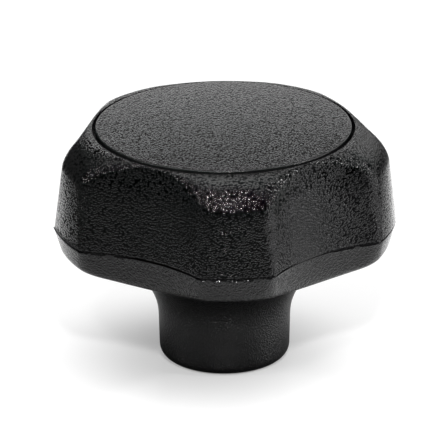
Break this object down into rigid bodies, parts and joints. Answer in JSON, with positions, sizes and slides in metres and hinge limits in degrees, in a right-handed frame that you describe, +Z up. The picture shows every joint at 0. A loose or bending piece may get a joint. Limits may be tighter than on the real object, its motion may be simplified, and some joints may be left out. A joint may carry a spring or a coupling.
{
  "type": "star knob",
  "caption": "Lobed black plastic hand knob with a flat cover cap, a round flared boss and a blind threaded brass insert.",
  "frame": {"origin": "on the thread's axis, in the plane of the boss face, at the mouth of the threaded hole", "axes": "+Z up along the thread's axis, from the boss face to the cap; a lobe points along -Y; the hole opens along -Z"},
  "size_m": [0.0496, 0.0477, 0.0355],
  "materials": {
    "body_plastic": "glass-filled nylon, coarse pebbled mould grain above the parting line, fine grain below it, smooth boss",
    "cap_plastic": "nylon with a fine even mould grain, matt",
    "insert_brass": "turned brass"
  },
  "bodies": {
    "root": {"star_body": "body_plastic", "cover_cap": "cap_plastic", "threaded_insert": "insert_brass"}
  },
  "joints": []
}
